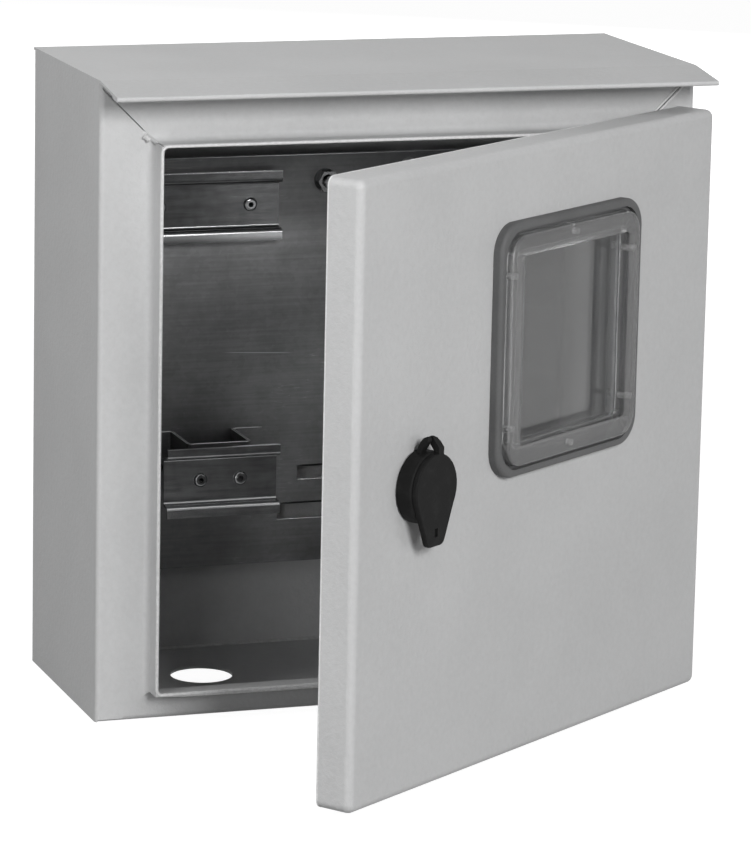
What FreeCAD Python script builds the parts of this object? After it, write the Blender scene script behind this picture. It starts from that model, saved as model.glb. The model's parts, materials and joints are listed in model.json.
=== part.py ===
import FreeCAD, Part
import math
import os
import types
import Sketcher

# A wall-mounted sheet-steel meter box with a hinged door, a window and a cam lock.
# Millimetres. X points right, Y into the wall, Z up. The origin is the centre of the back face.
# Everything on the door is drawn with the door closed and then placed at the door's open angle.

SIZES = {
    # Case
    "case_width": 300,
    "case_height": 310,
    "case_depth": 120,
    "sheet": 1.2,
    "corner_bend": 2.6,
    "side_margin": 27.5,
    "top_margin": 30.5,
    "bottom_margin": 15.5,
    "lip_stand": 13,
    "lip_bend": 3.5,
    "seam_gap": 0.7,
    "weld_leg": 2.5,
    "visor_reach": 29.2,
    "visor_drop": 4,
    "visor_hem": 8,
    "hem_round": 1,
    "header_return": 10,
    "wall_hole_radius": 4,
    "wall_hole_inset_x": 25,
    "wall_hole_inset_z": 25,
    "cable_hole_radius": 15.5,
    "cable_hole_inset_x": 73.4,
    "cable_hole_inset_y": 53,
    # Mounting plate
    "plate_side_gap": 24,
    "plate_top_gap": 55.5,
    "plate_bottom_gap": 46,
    "plate_sheet": 1.5,
    "plate_standoff": 9.8,
    "stud_radius": 3,
    "stud_edge": 13,
    "stud_side_inset": 26,
    "upper_stud_shift": 2.6,
    "stud_reach": 9.5,
    "washer_radius": 6,
    "washer_thick": 1.6,
    "nut_flats": 10,
    "nut_thick": 5,
    "slot_upper_length": 30,
    "slot_upper_height": 7.3,
    "slot_upper_rise": 46,
    "slot_lower_length": 51,
    "slot_lower_height": 8.5,
    "slot_lower_rise": 26.3,
    "plate_hole_radius": 4.5,
    "plate_hole_inset_x": 84.5,
    "plate_hole_inset_z": 7.5,
    # Rails and their bracket
    "rail_height": 35,
    "rail_depth": 7.5,
    "rail_lip": 5,
    "rail_sheet": 1,
    "rail_bend": 1.4,
    "rail_inset": 60.2,
    "upper_rail_length": 77,
    "upper_rail_drop": 23.9,
    "upper_rivet_pitch": 47.2,
    "lower_rail_length": 58.2,
    "lower_rail_rise": 52.8,
    "lower_rivet_pitch": 20.6,
    "bracket_width": 33,
    "bracket_stand": 32,
    "bracket_foot": 15,
    "bracket_sheet": 1.5,
    "bracket_height": 36,
    "rivet_radius": 1.9,
    "rivet_head_radius": 3.5,
    "rivet_head_height": 1.5,
    "rivet_dome": 1.3,
    "rivet_bore": 1.3,
    "rivet_tail": 2.4,
    # Door
    "door_hinge_gap": 1.4,
    "door_free_gap": 5.5,
    "door_top_gap": 19.5,
    "door_bottom_gap": 3.5,
    "door_depth": 18.5,
    "door_sheet": 1.2,
    "door_bend": 3.6,
    "door_corner": 4,
    "door_stand": 23,
    "door_open": 35.5,
    "seal_width": 10,
    "seal_corner": 6,
    # Hinges
    "pin_inset": 7.7,
    "pin_depth": 12.1,
    "pin_radius": 2.5,
    "pin_head_radius": 3.6,
    "pin_head_height": 1.5,
    "knuckle_radius": 4,
    "hinge_inset": 45,
    "lug_height": 3.5,
    "fork_ear": 3,
    "fork_web": 2,
    # Window
    "window_inset": 130,
    "window_rise": 51.2,
    "gasket_margin": 5.5,
    "gasket_corner": 14,
    "gasket_thick": 5,
    "gasket_edge": 2,
    "gasket_groove": 1.6,
    "gasket_groove_floor": 2.5,
    "gasket_seat": 1,
    "rim_flange": 7.75,
    "rim_corner": 11,
    "rim_thick": 6.3,
    "rim_edge": 1.2,
    "tub_side": 92.5,
    "tub_wall": 2,
    "tub_corner": 4,
    "tub_depth": 5,
    "pane_thick": 2.5,
    "peg_radius": 1.8,
    "peg_stand": 3.75,
    "peg_corner_gap": 10.75,
    "peg_length": 4.2,
    "push_nut_radius": 3.2,
    "push_nut_thick": 0.8,
    # Lock
    "lock_inset": 46.5,
    "lock_gasket_thick": 0.8,
    "boss_radius": 16.8,
    "boss_height": 8,
    "boss_edge": 1,
    "key_well_radius": 12,
    "key_well_depth": 3.5,
    "barrel_radius": 10,
    "barrel_end_gap": 2.8,
    "lock_nut_flats": 27,
    "lock_nut_thick": 5,
    "core_radius": 7,
    "core_head_radius": 8.5,
    "core_head_height": 2,
    "key_socket_radius": 4.6,
    "key_socket_depth": 7,
    "cam_square": 8,
    "cam_thick": 2.5,
    "cam_half_width": 8,
    "cam_length": 38,
    "cam_screw_radius": 2,
    "cam_screw_length": 8,
    "cam_screw_head": 5,
    "cam_screw_head_height": 2.4,
    "cover_radius": 16,
    "cover_thick": 2.3,
    "cover_edge": 0.8,
    "tongue_drop": 26.5,
    "tongue_half_width": 6.2,
    "tongue_corner": 4,
    "seal_slot_width": 2.4,
    "seal_slot_height": 3.9,
    "seal_slot_drop": 20.1,
    "cover_pin_rise": 22,
    "cover_pin_stand": 6.8,
    "cover_pin_radius": 0.8,
    "cover_knuckle": 1.5,
    "ear_gap": 1.6,
    "ear_width": 3.9,
    "ear_corner_x": 2.4,
    "ear_corner_z": 3,
    "ear_stand": 2.2,
    "ear_thick": 2.4,
    "ear_root": 3.2,
    "ear_shoulder": 0.6,
    "ear_lean": 27,
    "arm_shoulder": 2.5,
    "arm_lean": 34,
    # Clearances
    "running_fit": 0.05,
    "slip": 0.3,
    "loose": 0.4,
}

FAR = 2.0
FULL_TURN = 360
OVERCUT = 1.0
SIXTH_TURN = 60
THIRD_TURN = 120
TOLERANCE = 1e-4


class Size:
    """A length or angle that carries its value and the sheet expression that gives it."""

    def __init__(self, value, text):
        self.value = float(value)
        self.text = text

    def __add__(self, other):
        other = as_size(other)
        return Size(self.value + other.value, f"({self.text} + {other.text})")

    def __sub__(self, other):
        other = as_size(other)
        return Size(self.value - other.value, f"({self.text} - {other.text})")

    def __mul__(self, factor):
        factor = as_size(factor)
        return Size(self.value * factor.value, f"({self.text} * {factor.text})")

    def __truediv__(self, divisor):
        divisor = as_size(divisor)
        return Size(self.value / divisor.value, f"({self.text} / {divisor.text})")

    def __neg__(self):
        return Size(-self.value, f"(0 - {self.text})")

    __radd__ = __add__
    __rmul__ = __mul__

    def __rsub__(self, other):
        return as_size(other) - self


def as_size(item):
    if isinstance(item, Size):
        return item
    return Size(item, f"({float(item)!r})")


def cosine(angle):
    return Size(math.cos(math.radians(angle.value)), f"cos({angle.text})")


def sine(angle):
    return Size(math.sin(math.radians(angle.value)), f"sin({angle.text})")


def open_sheet(document):
    """Writes the driving dimensions to a spreadsheet and returns them as sizes."""
    sheet = document.addObject("Spreadsheet::Sheet", "Sizes")
    for row, (name, value) in enumerate(SIZES.items(), start=1):
        sheet.set(f"A{row}", str(value))
        sheet.setAlias(f"A{row}", name)
    document.recompute()
    return types.SimpleNamespace(**{name: Size(value, f"Sizes.{name}") for name, value in SIZES.items()})


DOC = FreeCAD.newDocument("meter_box")
D = open_sheet(DOC)
NODES = {}

# Planes of the case
HALF_WIDTH = D.case_width / 2
TOP = D.case_height / 2
BOTTOM = -TOP
FRONT = -D.case_depth
LIP_FRONT = FRONT - D.lip_stand
BACK_INSIDE = -D.sheet
ROOF_UNDER = TOP - D.sheet
FLOOR_TOP = BOTTOM + D.sheet
OPENING_RIGHT = HALF_WIDTH - D.side_margin
OPENING_TOP = TOP - D.top_margin
OPENING_BOTTOM = BOTTOM + D.bottom_margin
MITRE_REACH = D.side_margin * FAR
CABLE_HOLE_X = D.cable_hole_inset_x - HALF_WIDTH
# Planes of the mounting plate
PLATE_BACK = BACK_INSIDE - D.plate_standoff
PLATE_FRONT = PLATE_BACK - D.plate_sheet
PLATE_RIGHT = HALF_WIDTH - D.plate_side_gap
PLATE_TOP = TOP - D.plate_top_gap
PLATE_BOTTOM = BOTTOM + D.plate_bottom_gap
RAIL_X = D.rail_inset - PLATE_RIGHT
UPPER_RAIL_Z = PLATE_TOP - D.upper_rail_drop
LOWER_RAIL_Z = PLATE_BOTTOM + D.lower_rail_rise
BRACKET_FRONT = PLATE_FRONT - D.bracket_stand
# Planes of the closed door
DOOR_FRONT = FRONT - D.door_stand
DOOR_INSIDE = DOOR_FRONT + D.door_sheet
DOOR_BOTTOM = BOTTOM + D.door_bottom_gap
DOOR_TOP = TOP - D.door_top_gap
DOOR_LEFT = D.door_free_gap - HALF_WIDTH
DOOR_RIGHT = HALF_WIDTH - D.door_hinge_gap
DOOR_MIDDLE_Z = (DOOR_BOTTOM + DOOR_TOP) / 2
PIN_X = DOOR_RIGHT - D.pin_inset
PIN_Y = DOOR_FRONT + D.pin_depth
# Window
WINDOW_X = DOOR_RIGHT - D.window_inset
WINDOW_Z = DOOR_MIDDLE_Z + D.window_rise
RIM_SIDE = D.tub_side + 2 * D.rim_flange
GASKET_SIDE = RIM_SIDE + 2 * D.gasket_margin
PEG_REACH = D.tub_side / 2 + D.peg_stand
PEG_SPREAD = D.tub_side / 2 - D.peg_corner_gap
# Lock
LOCK_X = DOOR_LEFT + D.lock_inset
LOCK_Z = DOOR_MIDDLE_Z
BOSS_BACK = DOOR_FRONT - D.lock_gasket_thick
BOSS_FRONT = BOSS_BACK - D.boss_height
KEY_WELL_FLOOR = BOSS_FRONT + D.key_well_depth
CAM_FRONT = FRONT + D.sheet + D.loose
CAM_BACK = CAM_FRONT + D.cam_thick
BARREL_END = CAM_FRONT - D.barrel_end_gap
COVER_BACK = BOSS_FRONT - D.slip
COVER_FRONT = COVER_BACK - D.cover_thick
COVER_PIN_Y = DOOR_FRONT - D.cover_pin_stand
COVER_PIN_Z = LOCK_Z + D.cover_pin_rise
COVER_PIN_REACH = D.ear_gap / 2 + D.ear_width - D.ear_corner_x


def new_body(name):
    return DOC.addObject("PartDesign::Body", name)


def add_sketch(body, plane, shift):
    """Adds a sketch on one of the body's own planes, moved by shift along the plane's axes."""
    support = next(item for item in body.Origin.OriginFeatures if item.Role == plane)
    sketch = body.newObject("Sketcher::SketchObject", f"{body.Name}_sketch")
    sketch.AttachmentSupport = [(support, "")]
    sketch.MapMode = "FlatFace"
    for axis, amount in zip("xyz", shift):
        sketch.setExpression(f".AttachmentOffset.Base.{axis}", as_size(amount).text)
    return sketch


def tie(sketch, kind, geometry, point, size):
    """Ties one coordinate or radius of a sketch to the sheet."""
    size = as_size(size)
    if kind == "Radius":
        index = sketch.addConstraint(Sketcher.Constraint(kind, geometry, size.value))
    else:
        index = sketch.addConstraint(Sketcher.Constraint(kind, geometry, point, size.value))
    sketch.setExpression(f"Constraints[{index}]", size.text)


def draw_outline(sketch, corners):
    """Draws a closed outline of straight edges, each corner tied to the sheet."""
    corners = [(as_size(x), as_size(y)) for x, y in corners]
    first = sketch.GeometryCount
    count = len(corners)
    points = [FreeCAD.Vector(x.value, y.value, 0) for x, y in corners]
    lines = [Part.LineSegment(points[i], points[(i + 1) % count]) for i in range(count)]
    sketch.addGeometry(lines, False)
    for i in range(count):
        sketch.addConstraint(Sketcher.Constraint("Coincident", first + i, 2, first + (i + 1) % count, 1))
    for i, (x, y) in enumerate(corners):
        tie(sketch, "DistanceX", first + i, 1, x)
        tie(sketch, "DistanceY", first + i, 1, y)


def draw_circle(sketch, x, y, radius):
    x, y, radius = as_size(x), as_size(y), as_size(radius)
    centre = FreeCAD.Vector(x.value, y.value, 0)
    index = sketch.addGeometry(Part.Circle(centre, FreeCAD.Vector(0, 0, 1), radius.value), False)
    tie(sketch, "DistanceX", index, 3, x)
    tie(sketch, "DistanceY", index, 3, y)
    tie(sketch, "Radius", index, 0, radius)


def box_corners(left, right, low, high):
    return [(left, low), (right, low), (right, high), (left, high)]


def square_corners(x, z, side):
    return box_corners(x - side / 2, x + side / 2, z - side / 2, z + side / 2)


def hexagon_corners(x, z, flats):
    reach = flats / (2 * math.cos(math.radians(SIXTH_TURN / 2)))
    angles = [math.radians(SIXTH_TURN * i) for i in range(6)]
    return [(x + reach * math.cos(a), z + reach * math.sin(a)) for a in angles]


def sweep(kind, body, plane, start, end, outlines=(), circles=()):
    """Adds a pad or pocket between two positions along the axis that the plane faces."""
    start, end = as_size(start), as_size(end)
    faces_minus = plane == "XZ_Plane"
    before = body.Tip.Shape.Volume if kind == "Pocket" else 0
    sketch = add_sketch(body, plane, (0, 0, -start if faces_minus else start))
    for corners in outlines:
        draw_outline(sketch, corners)
    for circle in circles:
        draw_circle(sketch, *circle)
    feature = body.newObject(f"PartDesign::{kind}", f"{body.Name}_{kind.lower()}")
    feature.Profile = sketch
    feature.setExpression("Length", (end - start).text)
    feature.Reversed = faces_minus if kind == "Pad" else not faces_minus
    DOC.recompute()
    if kind == "Pocket" and feature.Shape.Volume > before - TOLERANCE:
        raise RuntimeError(f"{feature.Name} cuts nothing")
    return feature


def pad(body, plane, start, end, outlines=(), circles=()):
    return sweep("Pad", body, plane, start, end, outlines, circles)


def pocket(body, plane, start, end, outlines=(), circles=()):
    return sweep("Pocket", body, plane, start, end, outlines, circles)


def turn(body, corners, x=0, z=0):
    """Revolves an outline of radius and Y about the line through x and z along Y."""
    sketch = add_sketch(body, "XY_Plane", (x, 0, z))
    draw_outline(sketch, corners)
    feature = body.newObject("PartDesign::Revolution", f"{body.Name}_turn")
    feature.Profile = sketch
    feature.ReferenceAxis = (sketch, ["V_Axis"])
    feature.Angle = FULL_TURN
    DOC.recompute()
    return feature


def round_edges(body, radius, wanted):
    """Fillets every edge of the body's last feature that the test accepts."""
    base = body.Tip
    names = [f"Edge{i}" for i, edge in enumerate(base.Shape.Edges, start=1) if wanted(edge)]
    if not names:
        raise RuntimeError(f"{body.Name} has no such edge")
    feature = body.newObject("PartDesign::Fillet", f"{body.Name}_fillet")
    feature.Base = (base, names)
    feature.setExpression("Radius", as_size(radius).text)
    DOC.recompute()
    return feature


def middle(edge):
    return edge.valueAt((edge.FirstParameter + edge.LastParameter) / 2)


def near(value, size):
    return abs(value - as_size(size).value) < TOLERANCE


def along(edge, axis):
    """True for a straight edge that runs along the row axis of that index."""
    if not isinstance(edge.Curve, Part.Line):
        return False
    return abs(abs(edge.Curve.Direction[axis]) - 1) < TOLERANCE


def bend(body, axis, first, second, radius):
    """Rounds the folds of a sheet that run along an axis through the given pair of coordinates."""
    others = [i for i in range(3) if i != axis]

    def is_fold(edge):
        point = middle(edge)
        return along(edge, axis) and near(point[others[0]], first) and near(point[others[1]], second)

    return round_edges(body, radius, is_fold)


def in_plane_y(edge, y):
    """True for an edge that lies wholly in a plane of constant Y."""
    box = edge.BoundBox
    return near(box.YMin, y) and near(box.YMax, y)


def round_corners(body, x, z, side, radius):
    """Rounds the four edges along Y of a square boss or hole."""
    corners = square_corners(as_size(x), as_size(z), side)

    def is_corner(edge):
        point = middle(edge)
        return along(edge, 1) and any(near(point.x, cx) and near(point.z, cz) for cx, cz in corners)

    return round_edges(body, radius, is_corner)


def keep(name, item):
    """Names a finished sub-part that stays on the case."""
    item.Label = name
    NODES[name] = item
    return item


def keep_on_door(name, item):
    """Names a finished sub-part of the door and swings it about the hinge pin to the open angle."""
    angle = D.door_open
    item.Placement = FreeCAD.Placement(
        FreeCAD.Vector(), FreeCAD.Rotation(FreeCAD.Vector(0, 0, 1), angle.value)
    )
    item.setExpression(".Placement.Rotation.Angle", angle.text)
    shift_x = PIN_X - (PIN_X * cosine(angle) - PIN_Y * sine(angle))
    shift_y = PIN_Y - (PIN_X * sine(angle) + PIN_Y * cosine(angle))
    item.setExpression(".Placement.Base.x", shift_x.text)
    item.setExpression(".Placement.Base.y", shift_y.text)
    return keep(name, item)


def group(name, members):
    """Joins like pieces into one sub-part of separate solids."""
    compound = DOC.addObject("Part::Compound", name)
    compound.Links = members
    return compound


# Case


def cut_mitre(body, corners, sides=(-1, 1)):
    """Cuts the front frame of a panel along a mitre, on the left and, mirrored, on the right."""
    outlines = [[(side * x, z) for x, z in corners] for side in sides]
    pocket(body, "XZ_Plane", LIP_FRONT - OVERCUT, FRONT + D.sheet + OVERCUT, outlines)


def make_body_shell():
    inner = HALF_WIDTH - D.sheet
    lip_outer = OPENING_RIGHT + D.sheet
    flange_back = FRONT + D.sheet
    right = [
        (HALF_WIDTH, as_size(0)),
        (HALF_WIDTH, FRONT),
        (lip_outer, FRONT),
        (lip_outer, LIP_FRONT),
        (OPENING_RIGHT, LIP_FRONT),
        (OPENING_RIGHT, flange_back),
        (inner, flange_back),
        (inner, BACK_INSIDE),
    ]
    left = [(-x, y) for x, y in reversed(right)]
    body = new_body("body_shell")
    pad(body, "XY_Plane", BOTTOM, ROOF_UNDER, [right + left])
    for side in (-1, 1):
        bend(body, 2, side * HALF_WIDTH, 0, D.corner_bend)
        bend(body, 2, side * inner, BACK_INSIDE, D.corner_bend - D.sheet)
        bend(body, 2, side * HALF_WIDTH, FRONT, D.corner_bend)
        bend(body, 2, side * inner, flange_back, D.corner_bend - D.sheet)
        bend(body, 2, side * lip_outer, FRONT, D.lip_bend)
        bend(body, 2, side * OPENING_RIGHT, flange_back, D.lip_bend + D.sheet)
    mitre_rise = inner - OPENING_RIGHT
    cut_mitre(body, [
        (OPENING_RIGHT - MITRE_REACH, OPENING_TOP - MITRE_REACH),
        (inner, OPENING_TOP + mitre_rise),
        (inner, OPENING_TOP + MITRE_REACH),
        (OPENING_RIGHT - MITRE_REACH, OPENING_TOP + MITRE_REACH),
    ])
    cut_mitre(body, [
        (OPENING_RIGHT - MITRE_REACH, OPENING_BOTTOM + MITRE_REACH),
        (OPENING_RIGHT + OPENING_BOTTOM - FLOOR_TOP, FLOOR_TOP),
        (inner, FLOOR_TOP),
        (inner, BOTTOM - OVERCUT),
        (OPENING_RIGHT - MITRE_REACH, BOTTOM - OVERCUT),
    ])
    reach_x = HALF_WIDTH - D.wall_hole_inset_x
    reach_z = TOP - D.wall_hole_inset_z
    holes = [(sx * reach_x, sz * reach_z, D.wall_hole_radius) for sx in (-1, 1) for sz in (-1, 1)]
    pocket(body, "XZ_Plane", BACK_INSIDE - OVERCUT, OVERCUT, circles=holes)
    keep("body_shell", body)


def make_roof_panel():
    """The flat roof and its sloping visor, whose front edge is folded back under itself."""
    tip = FRONT - D.visor_reach
    tip_top = TOP - D.visor_drop
    hem_end = tip + D.visor_hem
    hem_rise = D.visor_drop * D.visor_hem / D.visor_reach
    body = new_body("roof_panel")
    pad(body, "YZ_Plane", -HALF_WIDTH, HALF_WIDTH, [[
        (as_size(0), TOP),
        (FRONT, TOP),
        (tip, tip_top),
        (tip, tip_top - 2 * D.sheet),
        (hem_end, tip_top - 2 * D.sheet + hem_rise),
        (hem_end, tip_top - D.sheet + hem_rise),
        (FRONT, ROOF_UNDER),
        (as_size(0), ROOF_UNDER),
    ]])
    for z in (tip_top, tip_top - 2 * D.sheet):
        bend(body, 0, tip, z, D.hem_round)
    keep("roof_panel", body)


def make_header_flange():
    inner = HALF_WIDTH - D.sheet
    flange_back = FRONT + D.sheet
    return_end = flange_back + D.header_return
    body = new_body("header_flange")
    pad(body, "YZ_Plane", -inner, inner, [[
        (FRONT, ROOF_UNDER),
        (FRONT, OPENING_TOP + D.sheet),
        (LIP_FRONT, OPENING_TOP + D.sheet),
        (LIP_FRONT, OPENING_TOP),
        (flange_back, OPENING_TOP),
        (flange_back, ROOF_UNDER - D.sheet),
        (return_end, ROOF_UNDER - D.sheet),
        (return_end, ROOF_UNDER),
    ]])
    bend(body, 0, FRONT, OPENING_TOP + D.sheet, D.lip_bend)
    bend(body, 0, flange_back, OPENING_TOP, D.lip_bend + D.sheet)
    seam = OPENING_RIGHT - D.seam_gap
    cut_mitre(body, [
        (seam - MITRE_REACH, OPENING_TOP - MITRE_REACH),
        (seam + MITRE_REACH, OPENING_TOP + MITRE_REACH),
        (seam + MITRE_REACH, OPENING_TOP - MITRE_REACH),
    ])
    keep("header_flange", body)


def make_floor_panel():
    inner = HALF_WIDTH - D.sheet
    flange_back = FRONT + D.sheet
    body = new_body("floor_panel")
    pad(body, "YZ_Plane", -inner, inner, [[
        (BACK_INSIDE, BOTTOM),
        (FRONT, BOTTOM),
        (FRONT, OPENING_BOTTOM - D.sheet),
        (LIP_FRONT, OPENING_BOTTOM - D.sheet),
        (LIP_FRONT, OPENING_BOTTOM),
        (flange_back, OPENING_BOTTOM),
        (flange_back, FLOOR_TOP),
        (BACK_INSIDE, FLOOR_TOP),
    ]])
    bend(body, 0, FRONT, BOTTOM, D.corner_bend)
    bend(body, 0, flange_back, FLOOR_TOP, D.corner_bend - D.sheet)
    bend(body, 0, FRONT, OPENING_BOTTOM - D.sheet, D.lip_bend)
    bend(body, 0, flange_back, OPENING_BOTTOM, D.lip_bend + D.sheet)
    cut_mitre(body, [
        (OPENING_RIGHT - OVERCUT, OPENING_BOTTOM + OVERCUT),
        (OPENING_RIGHT + OPENING_BOTTOM - FLOOR_TOP, FLOOR_TOP),
        (HALF_WIDTH, FLOOR_TOP),
        (HALF_WIDTH, OPENING_BOTTOM + OVERCUT),
    ])
    hole = (CABLE_HOLE_X, -D.cable_hole_inset_y, D.cable_hole_radius)
    pocket(body, "XY_Plane", BOTTOM - OVERCUT, FLOOR_TOP + OVERCUT, circles=[hole])
    keep("floor_panel", body)


def make_corner_welds():
    """Concave fillets of weld in the four corners of the opening's lip."""
    leg = D.weld_leg
    arc = [math.radians(angle) for angle in (90, 120, 150, 180)]
    hollow = [(leg * (1 + math.cos(a)), leg * (1 - math.sin(a))) for a in arc]
    beads = []
    for side in (-1, 1):
        for edge, inwards in ((OPENING_TOP, -1), (OPENING_BOTTOM, 1)):
            body = new_body("corner_weld")
            corner = side * OPENING_RIGHT
            outline = [(corner, edge)]
            outline += [(corner - side * along_x, edge + inwards * along_z) for along_x, along_z in hollow]
            pad(body, "XZ_Plane", LIP_FRONT, FRONT - D.lip_bend, [outline])
            beads.append(body)
    keep("corner_welds", group("corner_welds", beads))


# Mounting plate and rails


def stud_places():
    """One stud near the middle above and one near each side below."""
    low = PLATE_BOTTOM + D.stud_edge
    reach = PLATE_RIGHT - D.stud_side_inset
    return [(-D.upper_stud_shift, PLATE_TOP - D.stud_edge), (-reach, low), (reach, low)]


def pair(pitch, z):
    """Two places on a level line, either side of the rails' middle."""
    return [(RAIL_X + side * pitch / 2, z) for side in (-1, 1)]


def upper_rivet_places():
    return pair(D.upper_rivet_pitch, UPPER_RAIL_Z)


def lower_rivet_places():
    return pair(D.lower_rivet_pitch, LOWER_RAIL_Z)


def foot_rivet_places():
    return pair(D.bracket_width + D.bracket_foot, LOWER_RAIL_Z)


def make_mounting_plate():
    body = new_body("mounting_plate")
    blank = box_corners(-PLATE_RIGHT, PLATE_RIGHT, PLATE_BOTTOM, PLATE_TOP)
    pad(body, "XZ_Plane", PLATE_FRONT, PLATE_BACK, [blank])
    slots = [
        (D.slot_upper_length, D.slot_upper_height, PLATE_BOTTOM + D.slot_upper_rise),
        (D.slot_lower_length, D.slot_lower_height, PLATE_BOTTOM + D.slot_lower_rise),
    ]
    outlines = [box_corners(-size / 2, size / 2, z - tall / 2, z + tall / 2) for size, tall, z in slots]
    circles = [(PLATE_RIGHT - D.plate_hole_inset_x, PLATE_TOP - D.plate_hole_inset_z, D.plate_hole_radius)]
    circles += [(x, z, D.stud_radius + D.running_fit) for x, z in stud_places()]
    rivets = upper_rivet_places() + foot_rivet_places()
    circles += [(x, z, D.rivet_radius + D.running_fit) for x, z in rivets]
    pocket(body, "XZ_Plane", PLATE_FRONT - OVERCUT, PLATE_BACK + OVERCUT, outlines, circles)
    keep("mounting_plate", body)


def make_ring(name, x, z, bore, radius, start, end):
    body = new_body(name)
    turn(body, [(bore, start), (radius, start), (radius, end), (bore, end)], x, z)
    return body


def make_plate_fixings():
    """Welded studs, spacers behind the plate, and washers and nuts in front of it."""
    bore = D.stud_radius + D.running_fit
    washer_front = PLATE_FRONT - D.washer_thick
    nut_front = washer_front - D.nut_thick
    studs, spacers, washers, nuts = [], [], [], []
    for x, z in stud_places():
        stud = new_body("stud")
        pad(stud, "XZ_Plane", PLATE_FRONT - D.stud_reach, BACK_INSIDE, circles=[(x, z, D.stud_radius)])
        studs.append(stud)
        spacers.append(make_ring("spacer", x, z, bore, D.washer_radius, PLATE_BACK, BACK_INSIDE))
        washers.append(make_ring("washer", x, z, bore, D.washer_radius, washer_front, PLATE_FRONT))
        nut = new_body("nut")
        flats = hexagon_corners(x, z, D.nut_flats)
        pad(nut, "XZ_Plane", nut_front, washer_front, [flats], [(x, z, bore)])
        nuts.append(nut)
    named = {"plate_studs": studs, "stud_spacers": spacers, "plate_washers": washers, "plate_nuts": nuts}
    for name, members in named.items():
        keep(name, group(name, members))


def make_rivets(name, places, front, grip):
    """Blind rivets whose domed heads sit on the front sheet and whose tails spread behind the stack."""
    head_top = front - D.rivet_head_height
    back = front + grip
    tail_end = back + D.rivet_tail
    shank = D.rivet_radius
    head = D.rivet_head_radius
    spread = (head + shank) / 2
    outline = [
        (D.rivet_bore, head_top),
        (head, head_top),
        (head, front),
        (shank, front),
        (shank, back),
        (spread, back),
        (shank, tail_end),
        (D.rivet_bore, tail_end),
    ]

    def is_brow(edge):
        return in_plane_y(edge, head_top) and near(getattr(edge.Curve, "Radius", 0), head)

    rivets = []
    for x, z in places:
        body = new_body("rivet")
        turn(body, outline, x, z)
        round_edges(body, D.rivet_dome, is_brow)
        rivets.append(body)
    keep(name, group(name, rivets))


def make_rail(name, length, z, back, rivets):
    """A top-hat rail: a web on the back, two walls forward and two outward lips."""
    body = new_body(name)
    front = back - D.rail_depth
    sheet = D.rail_sheet
    half = D.rail_height / 2
    wall_out = half - D.rail_lip
    wall_in = wall_out - sheet
    upper = [
        (back, wall_out),
        (front + sheet, wall_out),
        (front + sheet, half),
        (front, half),
        (front, wall_in),
        (back - sheet, wall_in),
    ]
    lower = [(y, -rise) for y, rise in reversed(upper)]
    profile = [(y, z + rise) for y, rise in upper + lower]
    pad(body, "YZ_Plane", RAIL_X - length / 2, RAIL_X + length / 2, [profile])
    for side in (-1, 1):
        bend(body, 0, back - sheet, z + side * wall_in, D.rail_bend)
        bend(body, 0, back, z + side * wall_out, D.rail_bend + sheet)
        bend(body, 0, front, z + side * wall_in, D.rail_bend + sheet)
        bend(body, 0, front + sheet, z + side * wall_out, D.rail_bend)
    holes = [(x, rivet_z, D.rivet_radius + D.running_fit) for x, rivet_z in rivets]
    pocket(body, "XZ_Plane", back - sheet - OVERCUT, back + OVERCUT, circles=holes)
    keep(name, body)


def make_rail_bracket():
    """A folded stand-off: two feet on the plate, two legs and a web that carries the lower rail."""
    body = new_body("rail_bracket")
    sheet = D.bracket_sheet
    half = D.bracket_width / 2
    foot_end = half + D.bracket_foot
    right = [
        (half, BRACKET_FRONT),
        (half, PLATE_FRONT - sheet),
        (foot_end, PLATE_FRONT - sheet),
        (foot_end, PLATE_FRONT),
        (half - sheet, PLATE_FRONT),
        (half - sheet, BRACKET_FRONT + sheet),
    ]
    left = [(-x, y) for x, y in reversed(right)]
    low = LOWER_RAIL_Z - D.bracket_height / 2
    outline = [(RAIL_X + x, y) for x, y in right + left]
    pad(body, "XY_Plane", low, low + D.bracket_height, [outline])
    for side in (-1, 1):
        bend(body, 2, RAIL_X + side * half, BRACKET_FRONT, sheet * FAR)
        bend(body, 2, RAIL_X + side * (half - sheet), BRACKET_FRONT + sheet, sheet)
        bend(body, 2, RAIL_X + side * half, PLATE_FRONT - sheet, sheet)
        bend(body, 2, RAIL_X + side * (half - sheet), PLATE_FRONT, sheet * FAR)
    hole = D.rivet_radius + D.running_fit
    rail_holes = [(x, z, hole) for x, z in lower_rivet_places()]
    pocket(body, "XZ_Plane", BRACKET_FRONT - OVERCUT, BRACKET_FRONT + sheet + OVERCUT, circles=rail_holes)
    foot_holes = [(x, z, hole) for x, z in foot_rivet_places()]
    pocket(body, "XZ_Plane", PLATE_FRONT - sheet - OVERCUT, PLATE_FRONT + OVERCUT, circles=foot_holes)
    keep("rail_bracket", body)


def make_rails():
    make_rail_bracket()
    make_rail("upper_rail", D.upper_rail_length, UPPER_RAIL_Z, PLATE_FRONT, upper_rivet_places())
    make_rail("lower_rail", D.lower_rail_length, LOWER_RAIL_Z, BRACKET_FRONT, lower_rivet_places())
    on_plate = D.rail_sheet + D.plate_sheet
    make_rivets("upper_rail_rivets", upper_rivet_places(), PLATE_FRONT - D.rail_sheet, on_plate)
    on_bracket = D.rail_sheet + D.bracket_sheet
    make_rivets("lower_rail_rivets", lower_rivet_places(), BRACKET_FRONT - D.rail_sheet, on_bracket)
    on_feet = D.bracket_sheet + D.plate_sheet
    make_rivets("bracket_rivets", foot_rivet_places(), PLATE_FRONT - D.bracket_sheet, on_feet)


# Hinges


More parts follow.
